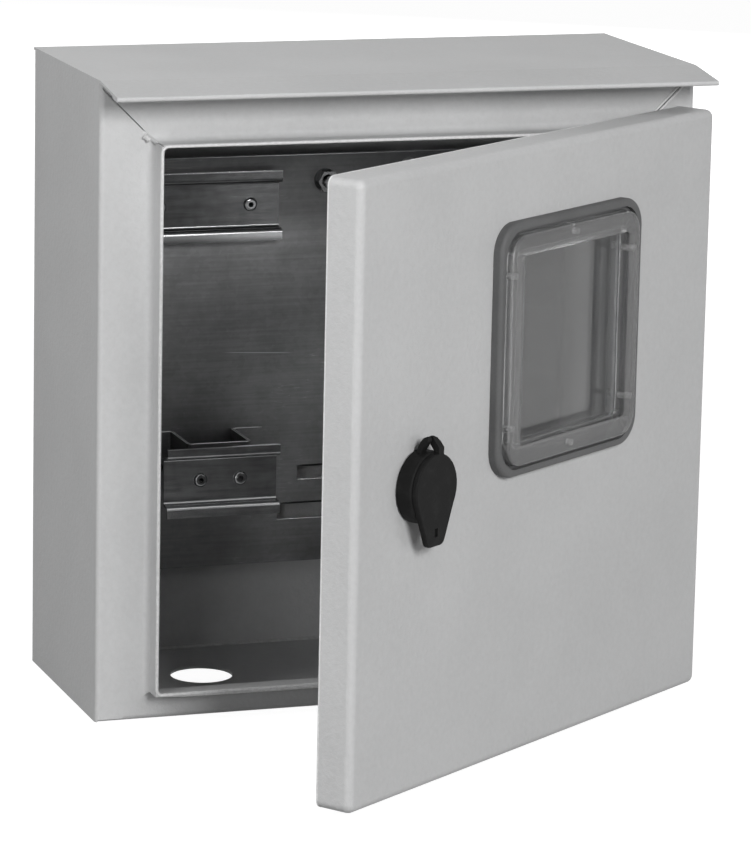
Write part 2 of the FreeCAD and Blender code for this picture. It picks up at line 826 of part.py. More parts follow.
def make_hinge(place, z):
    """A lug welded to the lip and flange, a fork on the door, and the pin through both."""
    lip_outer = OPENING_RIGHT + D.sheet
    toe = lip_outer + D.lip_bend + D.slip
    low, high = z - D.lug_height / 2, z + D.lug_height / 2
    bore = D.pin_radius + D.running_fit
    lug = new_body(f"{place}_case_hinge")
    pad(lug, "XY_Plane", low, high, [[
        (lip_outer, FRONT - D.lip_stand + D.sheet * FAR),
        (PIN_X, PIN_Y - D.knuckle_radius),
        (PIN_X, PIN_Y + D.knuckle_radius),
        (toe + D.fork_web, PIN_Y + D.knuckle_radius - D.sheet),
        (toe + D.sheet, FRONT),
        (toe, FRONT),
        (lip_outer, FRONT - D.lip_bend - D.slip),
    ]])
    pad(lug, "XY_Plane", low, high, circles=[(PIN_X, PIN_Y, D.knuckle_radius)])
    pocket(lug, "XY_Plane", low - OVERCUT, high + OVERCUT, circles=[(PIN_X, PIN_Y, bore)])
    keep(f"{place}_case_hinge", lug)

    fork = new_body(f"{place}_door_hinge")
    ear_top = high + D.slip + D.fork_ear
    ear_bottom = low - D.slip - D.fork_ear
    reach = D.knuckle_radius
    web_front = DOOR_INSIDE
    web_back = DOOR_INSIDE + D.fork_web
    web = box_corners(PIN_X - reach, PIN_X + reach, ear_bottom, ear_top)
    pad(fork, "XZ_Plane", web_front, web_back, [web])
    for start, end in ((high + D.slip, ear_top), (ear_bottom, low - D.slip)):
        pad(fork, "XY_Plane", start, end, [box_corners(PIN_X - reach, PIN_X + reach, web_front, PIN_Y)])
        pad(fork, "XY_Plane", start, end, circles=[(PIN_X, PIN_Y, reach)])
        pocket(fork, "XY_Plane", start - OVERCUT, end + OVERCUT, circles=[(PIN_X, PIN_Y, bore)])
    keep_on_door(f"{place}_door_hinge", fork)

    pin = new_body(f"{place}_hinge_pin")
    head = ear_top + D.slip
    pad(pin, "XY_Plane", ear_bottom - D.pin_radius, head, circles=[(PIN_X, PIN_Y, D.pin_radius)])
    pad(pin, "XY_Plane", head, head + D.pin_head_height, circles=[(PIN_X, PIN_Y, D.pin_head_radius)])
    keep(f"{place}_hinge_pin", pin)


def make_hinges():
    make_hinge("upper", DOOR_TOP - D.hinge_inset)
    make_hinge("lower", DOOR_BOTTOM + D.hinge_inset)


# Door


def peg_places():
    """The six pegs behind the window's rim: two on each upright and one on each level side."""
    places = [(WINDOW_X + sx * PEG_REACH, WINDOW_Z + sz * PEG_SPREAD) for sx in (-1, 1) for sz in (-1, 1)]
    places += [(WINDOW_X, WINDOW_Z + sz * PEG_REACH) for sz in (-1, 1)]
    return places


def make_door_panel():
    body = new_body("door_panel")
    back = DOOR_FRONT + D.door_depth
    pad(body, "XZ_Plane", DOOR_FRONT, back, [box_corners(DOOR_LEFT, DOOR_RIGHT, DOOR_BOTTOM, DOOR_TOP)])
    round_edges(body, D.door_corner, lambda edge: along(edge, 1))
    round_edges(body, D.door_bend, lambda edge: in_plane_y(edge, DOOR_FRONT))
    solid = body.Tip
    faces = enumerate(solid.Shape.Faces, start=1)
    open_back = [f"Face{i}" for i, face in faces if near(face.BoundBox.YMin, back)]
    hollow = body.newObject("PartDesign::Thickness", "door_panel_hollow")
    hollow.Base = (solid, open_back)
    hollow.setExpression("Value", D.door_sheet.text)
    hollow.Reversed = True
    DOC.recompute()
    cut_out = D.tub_side + 2 * D.loose
    pocket(body, "XZ_Plane", DOOR_FRONT - OVERCUT, DOOR_INSIDE + OVERCUT,
           [square_corners(WINDOW_X, WINDOW_Z, cut_out)])
    round_corners(body, WINDOW_X, WINDOW_Z, cut_out, D.tub_corner)
    holes = [(x, z, D.peg_radius + D.running_fit) for x, z in peg_places()]
    holes.append((LOCK_X, LOCK_Z, D.barrel_radius + D.slip))
    pocket(body, "XZ_Plane", DOOR_FRONT - OVERCUT, DOOR_INSIDE + OVERCUT, circles=holes)
    keep_on_door("door_panel", body)


def make_door_seal():
    """A foamed loop inside the door, on the line that meets the front edge of the lip."""
    body = new_body("door_seal")
    lip_middle = D.sheet / 2
    back = LIP_FRONT - D.slip
    outward = D.seal_width / 2 + lip_middle
    inward = D.seal_width / 2 - lip_middle
    outer = box_corners(-OPENING_RIGHT - outward, OPENING_RIGHT + outward,
                        OPENING_BOTTOM - outward, OPENING_TOP + outward)
    inner = box_corners(-OPENING_RIGHT + inward, OPENING_RIGHT - inward,
                        OPENING_BOTTOM + inward, OPENING_TOP - inward)
    pad(body, "XZ_Plane", DOOR_INSIDE, back, [outer, inner])
    is_outer = [(as_size(x).value, as_size(z).value) for x, z in outer]

    def is_outer_corner(edge):
        point = middle(edge)
        return along(edge, 1) and any(near(point.x, x) and near(point.z, z) for x, z in is_outer)

    round_edges(body, D.seal_corner, is_outer_corner)
    keep_on_door("door_seal", body)


def make_window_gasket():
    """A rubber frame with an outer bead, a groove beside the window's rim and a seat under it."""
    body = new_body("window_gasket")
    front = DOOR_FRONT - D.gasket_thick
    groove_floor = DOOR_FRONT - D.gasket_groove_floor
    seat = DOOR_FRONT - D.gasket_seat
    x, z = WINDOW_X, WINDOW_Z
    pad(body, "XZ_Plane", front, DOOR_FRONT, [square_corners(x, z, GASKET_SIDE)])
    rebate = RIM_SIDE + 2 * D.loose
    pocket(body, "XZ_Plane", front - OVERCUT, seat, [square_corners(x, z, rebate)])
    round_corners(body, x, z, rebate, D.rim_corner + D.loose)
    groove = rebate + 2 * D.gasket_groove
    pocket(body, "XZ_Plane", front - OVERCUT, groove_floor, [square_corners(x, z, groove)])
    round_corners(body, x, z, groove, D.rim_corner + D.loose + D.gasket_groove)
    through = D.tub_side + 2 * D.loose
    pocket(body, "XZ_Plane", seat - OVERCUT, DOOR_FRONT + OVERCUT, [square_corners(x, z, through)])
    round_corners(body, x, z, through, D.tub_corner)
    pegs = [(px, pz, D.peg_radius + D.running_fit) for px, pz in peg_places()]
    pocket(body, "XZ_Plane", seat - OVERCUT, DOOR_FRONT + OVERCUT, circles=pegs)
    round_corners(body, x, z, GASKET_SIDE, D.gasket_corner)

    def is_bead(edge):
        box = edge.BoundBox
        reach = max(box.XMax - x.value, x.value - box.XMin, box.ZMax - z.value, z.value - box.ZMin)
        return in_plane_y(edge, front) and near(reach, GASKET_SIDE / 2)

    round_edges(body, D.gasket_edge, is_bead)
    keep_on_door("window_gasket", body)


def make_window_pane():
    """The clear moulding: a rim over the gasket, a tub through the door and six pegs."""
    body = new_body("window_pane")
    x, z = WINDOW_X, WINDOW_Z
    seat = DOOR_FRONT - D.gasket_seat
    front = seat - D.rim_thick
    tub_back = DOOR_FRONT + D.tub_depth
    pad(body, "XZ_Plane", front, seat, [square_corners(x, z, RIM_SIDE)])
    round_corners(body, x, z, RIM_SIDE, D.rim_corner)
    round_edges(body, D.rim_edge, lambda edge: in_plane_y(edge, front))
    pad(body, "XZ_Plane", seat, tub_back, [square_corners(x, z, D.tub_side)])
    round_corners(body, x, z, D.tub_side, D.tub_corner)
    recess = D.tub_side - 2 * D.tub_wall
    pocket(body, "XZ_Plane", front - OVERCUT, tub_back - D.pane_thick, [square_corners(x, z, recess)])
    round_corners(body, x, z, recess, D.tub_corner - D.tub_wall)
    peg_end = DOOR_INSIDE + D.peg_length
    for px, pz in peg_places():
        pad(body, "XZ_Plane", seat, peg_end, circles=[(px, pz, D.peg_radius)])
    keep_on_door("window_pane", body)


def make_window_push_nuts():
    bore = D.peg_radius + D.running_fit
    back = DOOR_INSIDE + D.push_nut_thick
    nuts = [make_ring("push_nut", x, z, bore, D.push_nut_radius, DOOR_INSIDE, back) for x, z in peg_places()]
    keep_on_door("window_push_nuts", group("window_push_nuts", nuts))


# Lock


def finish_ear(body, side):
    """Adds the round end of an ear beside the gap, trims its outer corner and bores it for the pin."""
    inner = LOCK_X + side * D.ear_gap / 2
    outer = inner + side * D.ear_width
    top = COVER_PIN_Z + D.cover_knuckle
    left, right = (inner, outer) if side > 0 else (outer, inner)
    pad(body, "YZ_Plane", left, right, circles=[(COVER_PIN_Y, COVER_PIN_Z, D.cover_knuckle)])
    beyond = outer + side * OVERCUT
    corner = [
        (outer, top - D.ear_corner_z),
        (outer - side * D.ear_corner_x / 3, top - D.ear_corner_z / 3),
        (outer - side * D.ear_corner_x, top),
        (outer - side * D.ear_corner_x, top + OVERCUT),
        (beyond, top + OVERCUT),
        (beyond, top - D.ear_corner_z),
    ]
    reach = D.cover_knuckle + OVERCUT
    pocket(body, "XZ_Plane", COVER_PIN_Y - reach, COVER_PIN_Y + reach, [corner])
    bore_end = LOCK_X + side * (COVER_PIN_REACH + D.slip)
    first, last = (inner - OVERCUT, bore_end) if side > 0 else (bore_end, inner + OVERCUT)
    pin_bore = D.cover_pin_radius + D.running_fit
    pocket(body, "YZ_Plane", first, last, circles=[(COVER_PIN_Y, COVER_PIN_Z, pin_bore)])


def make_lock_housing():
    """A round boss with a key well, the barrel through the door, and the leaning ear for the cover's pin."""
    body = new_body("lock_housing")
    bore = D.core_radius + D.running_fit
    turn(body, [
        (bore, BARREL_END),
        (D.barrel_radius, BARREL_END),
        (D.barrel_radius, BOSS_BACK),
        (D.boss_radius, BOSS_BACK),
        (D.boss_radius, BOSS_FRONT),
        (D.key_well_radius, BOSS_FRONT),
        (D.key_well_radius, KEY_WELL_FLOOR),
        (bore, KEY_WELL_FLOOR),
    ], LOCK_X, LOCK_Z)
    rim = D.boss_radius.value

    def is_rim(edge):
        return in_plane_y(edge, BOSS_FRONT) and near(getattr(edge.Curve, "Radius", 0), rim)

    round_edges(body, D.boss_edge, is_rim)
    boss_top = LOCK_Z + D.boss_radius
    ear_back = BOSS_BACK - D.ear_stand
    ear_front = ear_back - D.ear_thick
    lean_y, lean_z = D.cover_knuckle * cosine(D.ear_lean), D.cover_knuckle * sine(D.ear_lean)
    end = LOCK_X - D.ear_gap / 2
    start = end - D.ear_width
    pad(body, "YZ_Plane", start, end, [[
        (ear_back, boss_top - D.ear_root),
        (ear_back, boss_top + D.ear_shoulder),
        (COVER_PIN_Y + lean_y, COVER_PIN_Z + lean_z),
        (COVER_PIN_Y - lean_y, COVER_PIN_Z - lean_z),
        (ear_front, boss_top),
        (ear_front, boss_top - D.ear_root),
    ]])
    finish_ear(body, -1)
    keep_on_door("lock_housing", body)


def make_lock_fixings():
    bore = D.barrel_radius + D.running_fit
    ring_radius = D.boss_radius - D.boss_edge
    gasket = make_ring("lock_gasket", LOCK_X, LOCK_Z, bore, ring_radius, BOSS_BACK, DOOR_FRONT)
    keep_on_door("lock_gasket", gasket)
    nut = new_body("lock_nut")
    flats = hexagon_corners(LOCK_X, LOCK_Z, D.lock_nut_flats)
    pad(nut, "XZ_Plane", DOOR_INSIDE, DOOR_INSIDE + D.lock_nut_thick, [flats], [(LOCK_X, LOCK_Z, bore)])
    keep_on_door("lock_nut", nut)


def make_lock_core():
    """The turning core with a three-sided key socket in front and a square seat for the cam behind."""
    core = new_body("lock_core")
    shoulder = KEY_WELL_FLOOR - D.running_fit
    head_front = shoulder - D.core_head_height
    turn(core, [
        (as_size(0), head_front),
        (D.core_head_radius, head_front),
        (D.core_head_radius, shoulder),
        (D.core_radius, shoulder),
        (D.core_radius, CAM_FRONT),
        (as_size(0), CAM_FRONT),
    ], LOCK_X, LOCK_Z)
    pad(core, "XZ_Plane", CAM_FRONT, CAM_BACK, [square_corners(LOCK_X, LOCK_Z, D.cam_square)])
    angles = [math.radians(SIXTH_TURN / 2 + THIRD_TURN * i) for i in range(3)]
    reach = D.key_socket_radius
    socket = [(LOCK_X + reach * math.cos(a), LOCK_Z + reach * math.sin(a)) for a in angles]
    pocket(core, "XZ_Plane", head_front - OVERCUT, head_front + D.key_socket_depth, [socket])
    screw_hole = (LOCK_X, LOCK_Z, D.cam_screw_radius + D.running_fit)
    screw_end = CAM_BACK - D.cam_screw_length
    pocket(core, "XZ_Plane", screw_end - D.slip, CAM_BACK + OVERCUT, circles=[screw_hole])
    keep_on_door("lock_core", core)

    cam = new_body("lock_cam")
    half = D.cam_half_width
    tip = LOCK_Z - D.cam_length + half
    blade = box_corners(LOCK_X - half, LOCK_X + half, tip, LOCK_Z + half)
    pad(cam, "XZ_Plane", CAM_FRONT, CAM_BACK, [blade])
    pad(cam, "XZ_Plane", CAM_FRONT, CAM_BACK, circles=[(LOCK_X, tip, half)])
    seat = D.cam_square + 2 * D.running_fit
    pocket(cam, "XZ_Plane", CAM_FRONT - OVERCUT, CAM_BACK + OVERCUT, [square_corners(LOCK_X, LOCK_Z, seat)])
    keep_on_door("lock_cam", cam)

    screw = new_body("cam_screw")
    turn(screw, [
        (as_size(0), screw_end),
        (D.cam_screw_radius, screw_end),
        (D.cam_screw_radius, CAM_BACK),
        (D.cam_screw_head, CAM_BACK),
        (D.cam_screw_head, CAM_BACK + D.cam_screw_head_height),
        (as_size(0), CAM_BACK + D.cam_screw_head_height),
    ], LOCK_X, LOCK_Z)
    keep_on_door("cam_screw", screw)


def make_lock_cover():
    """A disc with a tapered tongue below and an arm that leans back to the pin above."""
    body = new_body("lock_cover")
    z = LOCK_Z
    pad(body, "XZ_Plane", COVER_FRONT, COVER_BACK, circles=[(LOCK_X, z, D.cover_radius)])
    root = D.cover_radius * math.cos(math.radians(SIXTH_TURN / 2))
    tip = z - D.tongue_drop
    pad(body, "XZ_Plane", COVER_FRONT, COVER_BACK, [[
        (LOCK_X - root, z - D.cover_radius / 2),
        (LOCK_X - D.tongue_half_width, tip),
        (LOCK_X + D.tongue_half_width, tip),
        (LOCK_X + root, z - D.cover_radius / 2),
    ]])
    round_edges(body, D.tongue_corner, lambda edge: along(edge, 1) and near(middle(edge).z, tip))
    round_edges(body, D.cover_edge, lambda edge: in_plane_y(edge, COVER_FRONT))
    half_slot, half_tall = D.seal_slot_width / 2, D.seal_slot_height / 2
    slot_z = z - D.seal_slot_drop
    slot = box_corners(LOCK_X - half_slot, LOCK_X + half_slot, slot_z - half_tall, slot_z + half_tall)
    pocket(body, "XZ_Plane", COVER_FRONT - OVERCUT, COVER_BACK + OVERCUT, [slot])
    cover_top = z + D.cover_radius
    lean_y, lean_z = D.cover_knuckle * cosine(D.arm_lean), D.cover_knuckle * sine(D.arm_lean)
    start = LOCK_X + D.ear_gap / 2
    end = start + D.ear_width
    pad(body, "YZ_Plane", start, end, [[
        (COVER_BACK, cover_top - D.ear_root),
        (COVER_BACK, cover_top),
        (COVER_PIN_Y + lean_y, COVER_PIN_Z - lean_z),
        (COVER_PIN_Y - lean_y, COVER_PIN_Z + lean_z),
        (COVER_FRONT, cover_top + D.arm_shoulder),
        (COVER_FRONT, cover_top - D.ear_root),
    ]])
    finish_ear(body, 1)
    keep_on_door("lock_cover", body)

    pin = new_body("cover_pin")
    rod = (COVER_PIN_Y, COVER_PIN_Z, D.cover_pin_radius)
    pad(pin, "YZ_Plane", LOCK_X - COVER_PIN_REACH, LOCK_X + COVER_PIN_REACH, circles=[rod])
    keep_on_door("cover_pin", pin)


def check_and_export():
    """Refuses any failed object or shape, then writes one file for each sub-part."""
    DOC.recompute()
    for item in DOC.Objects:
        if "Invalid" in item.State or "Error" in item.State:
            raise RuntimeError(f"{item.Label} failed: {item.State}")
    for name, item in NODES.items():
        if item.Shape.isNull() or not item.Shape.isValid() or not item.Shape.Solids:
            raise RuntimeError(f"{name} has no valid solid")
    os.makedirs("parts", exist_ok=True)
    for name, item in NODES.items():
        item.Shape.exportStep(f"parts/{name}.step")


def main():
    make_body_shell()
    make_roof_panel()
    make_header_flange()
    make_floor_panel()
    make_corner_welds()
    make_mounting_plate()
    make_plate_fixings()
    make_rails()
    make_hinges()
    make_door_panel()
    make_door_seal()
    make_window_gasket()
    make_window_pane()
    make_window_push_nuts()
    make_lock_housing()
    make_lock_fixings()
    make_lock_core()
    make_lock_cover()
    check_and_export()


main()
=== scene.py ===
import json
import math

import bpy
from mathutils import Matrix, Vector


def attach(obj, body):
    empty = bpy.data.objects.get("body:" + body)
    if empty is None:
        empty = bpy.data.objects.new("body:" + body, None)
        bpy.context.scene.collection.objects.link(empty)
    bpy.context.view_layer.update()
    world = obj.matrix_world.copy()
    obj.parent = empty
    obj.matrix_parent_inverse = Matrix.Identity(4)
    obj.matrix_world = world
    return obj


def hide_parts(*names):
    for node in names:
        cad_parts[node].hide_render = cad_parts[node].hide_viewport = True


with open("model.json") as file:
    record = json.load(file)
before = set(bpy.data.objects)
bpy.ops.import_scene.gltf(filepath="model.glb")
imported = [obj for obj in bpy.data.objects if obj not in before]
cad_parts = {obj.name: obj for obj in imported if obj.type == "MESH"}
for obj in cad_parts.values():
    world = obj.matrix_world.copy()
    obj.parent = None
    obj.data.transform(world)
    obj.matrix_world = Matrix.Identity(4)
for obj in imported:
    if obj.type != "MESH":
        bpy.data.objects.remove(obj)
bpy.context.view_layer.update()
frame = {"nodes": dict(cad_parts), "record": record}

# Shapes are worked out in millimetres; meshes, finishes, lights and the camera are in metres
MM = 0.001
INWARD = Vector((0, 1, 0))
UPWARD = Vector((0, 0, 1))
SIDES = ((-1, "left"), (1, "right"))

# The hinge pin, and the angle at which the door stands open at rest
PIN = Vector((140.9, -130.9, 0))
DOOR_ANGLE = math.radians(35.5)
OPENED = Matrix.Translation(PIN) @ Matrix.Rotation(DOOR_ANGLE, 4, "Z") @ Matrix.Translation(-PIN)

CASE_FRONT = -120.0
BASE_Z = -155.0
# The opening's lip, on which the door's seal closes
LIP_X = 123.1
LIP_TOP = 125.1
LIP_BOTTOM = -140.1
DOOR_INSIDE_Y = -141.8
# The middle of the window on the closed door, and half the width of its clear pane
WINDOW_X = 18.6
WINDOW_Z = 43.2
WINDOW_HALF = 44.0
# The mounting plate's front face, and its slots: half the length, lower edge and upper edge
PLATE_Y = -12.5
PLATE_SLOTS = {"upper": (15.0, -66.65, -59.4), "lower": (25.5, -86.95, -78.5)}
# The upper edges of the two rails
UPPER_RAIL_TOP = 93.1
LOWER_RAIL_TOP = -38.7


class Wire:
    """A shader socket that takes part in sums and products."""

    def __init__(self, finish, socket):
        self.finish = finish
        self.socket = socket

    def maths(self, operation, first, second=0.0):
        return self.finish.node("ShaderNodeMath", {"operation": operation}, {0: first, 1: second})

    def __add__(self, other):
        return self.maths("ADD", self, other)

    def __sub__(self, other):
        return self.maths("SUBTRACT", self, other)

    def __rsub__(self, other):
        return self.maths("SUBTRACT", other, self)

    def __mul__(self, other):
        return self.maths("MULTIPLY", self, other)

    def __abs__(self):
        return self.maths("ABSOLUTE", self)

    __radd__ = __add__
    __rmul__ = __mul__

    def above(self, level):
        """1 where the value is above the level, and 0 elsewhere."""
        return self.maths("GREATER_THAN", self, level)

    def largest(self, other):
        return self.maths("MAXIMUM", self, other)

    def eased(self, low, high):
        """0 below low, 1 above high and smooth between them."""
        settings = {"interpolation_type": "SMOOTHSTEP"}
        inputs = {"Value": self, "From Min": low, "From Max": high}
        return self.finish.node("ShaderNodeMapRange", settings, inputs)


class Finish:
    """A material's node tree, and the textures that its colour, gloss and relief are worked out from."""

    def __init__(self, owner):
        self.owner = owner
        owner.use_nodes = True
        self.tree = owner.node_tree
        self.tree.nodes.clear()

    def node(self, kind, settings=None, inputs=None, output=0):
        """Adds a node, with its settings first and then its sockets, and gives back one of its outputs."""
        made = self.tree.nodes.new(kind)
        for name, value in (settings or {}).items():
            setattr(made, name, value)
        for name, value in (inputs or {}).items():
            if isinstance(value, Wire):
                self.tree.links.new(value.socket, made.inputs[name])
            else:
                made.inputs[name].default_value = value
        return Wire(self, made.outputs[output]) if made.outputs else made

    def place(self):
        """Where a point of the piece is, in metres, in the piece's own frame."""
        return self.node("ShaderNodeTexCoord", output="Object")

    def normal(self):
        return self.node("ShaderNodeNewGeometry", output="Normal")

    def stretched(self, place, scale):
        return self.node("ShaderNodeMapping", inputs={"Vector": place, "Scale": scale})

    def noise(self, place, scale, detail, roughness=0.5):
        inputs = {"Vector": place, "Scale": scale, "Detail": detail, "Roughness": roughness}
        return self.node("ShaderNodeTexNoise", None, inputs, "Fac")

    def cells(self, place, scale):
        return self.node("ShaderNodeTexVoronoi", None, {"Vector": place, "Scale": scale}, "Color")

    def parts(self, vector):
        """The three parts of a vector or a colour."""
        split = self.node("ShaderNodeSeparateXYZ", inputs={"Vector": vector}).socket.node
        return [Wire(self, socket) for socket in split.outputs]

    def mix(self, share, first, second):
        """A colour between two colours."""
        return self.node("ShaderNodeMix", {"data_type": "RGBA"}, {"Factor": share, 6: first, 7: second}, 2)

    def relief(self, height, strength, depth):
        """A bumped normal; the depth is in millimetres."""
        inputs = {"Height": height, "Strength": strength, "Distance": depth * MM}
        return self.node("ShaderNodeBump", None, inputs)

    def shaded(self, **sockets):
        """Joins a principled shader to the output, and gives back the finished material."""
        inputs = {name.replace("_", " "): value for name, value in sockets.items()}
        return self.ended(self.node("ShaderNodeBsdfPrincipled", None, inputs))

    def ended(self, shader):
        """Joins a shader to the output, and gives back the finished material."""
        self.node("ShaderNodeOutputMaterial", None, {"Surface": shader})
        return self.owner


def new_finish(name):
    return Finish(bpy.data.materials.new(name))


def grey(level, tint=0.0):
    """A near-neutral colour; a positive tint cools it."""
    return (level * (1 - tint), level, level * (1 + tint), 1.0)


# Finishes

BARE_STEEL = grey(0.62, 0.01)
# How much less metallic a cut edge is than the plated faces
CUT_EDGE_DULLING = 0.8


def powder_coat():
    """Light grey powder coat: a fine orange-peel skin with faint clouds."""
    finish = new_finish("powder_coat")
    place = finish.place()
    clouds = finish.noise(place, scale=14.0, detail=3.0)
    peel = finish.noise(place, scale=380.0, detail=3.0, roughness=0.6)
    grains = finish.noise(place, scale=1700.0, detail=2.0, roughness=0.6)
    skin = peel * 0.75 + grains * 0.25
    shade = clouds * 0.5 + skin * 0.5
    return finish.shaded(
        Base_Color=finish.mix(shade.eased(0.25, 0.75), grey(0.5, 0.004), grey(0.57, 0.004)),
        Roughness=0.42 + skin * 0.16,
        Specular_IOR_Level=0.25,
        Normal=finish.relief(skin, strength=0.5, depth=0.7),
    )


def lumpy_paint(name, low, high):
    """The same coat over a ground weld or a cut edge: rounder lumps and a little duller."""
    finish = new_finish(name)
    lumps = finish.noise(finish.place(), scale=480.0, detail=3.0)
    return finish.shaded(
        Base_Color=finish.mix(lumps.eased(0.3, 0.7), grey(low), grey(high)),
        Roughness=0.5 + lumps * 0.1,
        Normal=finish.relief(lumps, strength=0.5, depth=0.8),
    )


def long_scratch(x, height, hair):
    """The share of bare zinc along one long, slightly sloping scratch in the left half of the plate."""
    slope, drop = 0.0464, 1.84 * MM
    line = 1.0 - abs(height + x * slope + drop).eased(0.08 * MM, 0.3 * MM)
    left_end = x.eased(-57 * MM, -46 * MM)
    right_end = 1.0 - x.eased(-27 * MM, -16 * MM)
    return line * left_end * right_end * (0.35 + hair * 0.7)


def galvanised():
    """Zinc-coated sheet: faint crystals, rolling lines and scratches, with painted shade along its top and
    low left, and bare steel with a painted highlight on its up-facing edges.
    """
    finish = new_finish("galvanised")
    place = finish.place()
    crystal = finish.parts(finish.cells(place, scale=420.0))[0]
    rolled = finish.noise(finish.stretched(place, (1.0, 1.0, 30.0)), scale=22.0, detail=4.0, roughness=0.6)
    stains = finish.noise(place, scale=12.0, detail=4.0, roughness=0.65)
    hair = finish.noise(finish.stretched(place, (0.25, 1.0, 4.0)), scale=150.0, detail=1.0)
    fineness = 70.0
    scratch = (1.0 - abs(hair - 0.5) * fineness).largest(0.0) * stains.eased(0.52, 0.68)
    shade = (crystal * 0.06 + rolled * 0.26 + stains * 0.68).eased(0.25, 0.75)
    x, _, height = finish.parts(place)
    # Painted shade: the zinc is painted darker towards the plate's lower left and along its top.
    painted_shade_low_left = (1.0 - height.eased(-80 * MM, -10 * MM)) * (1.0 - x.eased(-65 * MM, -15 * MM))
    painted_shade_zinc = finish.mix(shade, grey(0.085, 0.008), grey(0.16, 0.01))
    bright = finish.mix(shade, grey(0.16, 0.008), grey(0.31, 0.01))
    colour = finish.mix(painted_shade_low_left.largest(height.eased(56 * MM, 74 * MM)), bright, painted_shade_zinc)
    bared = (scratch * 0.45).largest(long_scratch(x, height, hair))
    # Up-facing faces, mostly cut edges, get bare steel: partly their real colour, partly a painted
    # highlight where the light catches them.
    cut = finish.parts(finish.normal())[2].eased(0.6, 0.9)
    return finish.shaded(
        Base_Color=finish.mix(cut, finish.mix(bared, colour, grey(0.6, 0.01)), BARE_STEEL),
        Metallic=1.0 - cut * CUT_EDGE_DULLING,
        Roughness=0.34 + stains * 0.16 + crystal * 0.04,
        Normal=finish.relief(rolled * 0.7 + crystal * 0.3, strength=0.05, depth=0.3),
    )


def drawn_shade(finish, place, lines):
    """The lines that drawing leaves along X, and a shade made of them and of dust."""
    stretched = finish.stretched(place, (1.0, lines, lines))
    drawn = finish.noise(stretched, scale=40.0, detail=4.0, roughness=0.6)
    dust = finish.noise(place, scale=160.0, detail=3.0)
    return drawn, (drawn * 0.6 + dust * 0.4).eased(0.25, 0.75)


def rail_steel():
    """Plated rail, drawn along X, with painted light: a painted highlight where its bends look up and along
    the upper rail's foot, the lower rail painted paler than the upper, and bare steel on its upper cut
    edge.
    """
    finish = new_finish("rail_steel")
    place = finish.place()
    z = finish.parts(place)[2]
    drawn, shade = drawn_shade(finish, place, lines=14.0)
    # Painted light and shade: one steel in two copies, the upper rail painted darker and the lower rail
    # paler.
    upper = z.above(0.0)
    dark = finish.mix(shade, grey(0.1, 0.01), grey(0.18, 0.012))
    pale = finish.mix(shade, grey(0.2, 0.01), grey(0.36, 0.012))
    # Painted highlight: bends that face partly up are painted a pale grey, paler on the lower rail.
    tilt = finish.parts(finish.normal())[2]
    bend = tilt.eased(0.06, 0.35) * (1.0 - tilt.eased(0.8, 0.95))
    # Painted reflection: a pale band painted along the upper rail's foot, where its slight tilt reflects
    # light.
    foot_low, foot_bright, foot_end = [(UPPER_RAIL_TOP - drop) * MM for drop in (36.0, 31.5, 30.8)]
    foot = z.eased(foot_low, foot_bright) * (1.0 - z.above(foot_end))
    with_painted_foot_sheen = finish.mix(foot * 0.8, finish.mix(upper, pale, dark), grey(0.6, 0.01))
    painted_bend_glint = finish.mix(upper, grey(0.7, 0.01), grey(0.5, 0.01))
    # The rails' upper cut edges get bare steel: partly their real colour, partly a painted highlight where
    # the light catches them.
    near_upper, near_lower = [abs(z - top * MM) * -1.0 for top in (UPPER_RAIL_TOP, LOWER_RAIL_TOP)]
    cut = near_upper.largest(near_lower).above(-0.3 * MM)
    return finish.shaded(
        Base_Color=finish.mix(cut, finish.mix(bend, with_painted_foot_sheen, painted_bend_glint), BARE_STEEL),
        Metallic=1.0 - cut * CUT_EDGE_DULLING,
        Roughness=0.2 + drawn * 0.1,
        Normal=finish.relief(drawn, strength=0.08, depth=0.3),
    )


def plated(name, low, high, lines, rough):
    """Zinc-plated steel, with drawing lines along X where the piece was rolled."""
    finish = new_finish(name)
    drawn, shade = drawn_shade(finish, finish.place(), lines)
    return finish.shaded(
        Base_Color=finish.mix(shade, grey(low, 0.01), grey(high, 0.012)),
        Metallic=1.0,
        Roughness=rough + drawn * 0.14,
        Normal=finish.relief(drawn, strength=0.1, depth=0.3),
    )


def rubber(name, low, high, pores):
    """Matt moulded rubber with a fine pore."""
    finish = new_finish(name)
    place = finish.place()
    pore = finish.noise(place, scale=pores, detail=3.0, roughness=0.6)
    bloom = finish.noise(place, scale=40.0, detail=3.0)
    shade = (pore * 0.5 + bloom * 0.5).eased(0.3, 0.7)
    return finish.shaded(
        Base_Color=finish.mix(shade, grey(low, 0.01), grey(high, 0.01)),
        Roughness=0.55 + pore * 0.2,
        Normal=finish.relief(pore, strength=0.3, depth=0.4),
    )


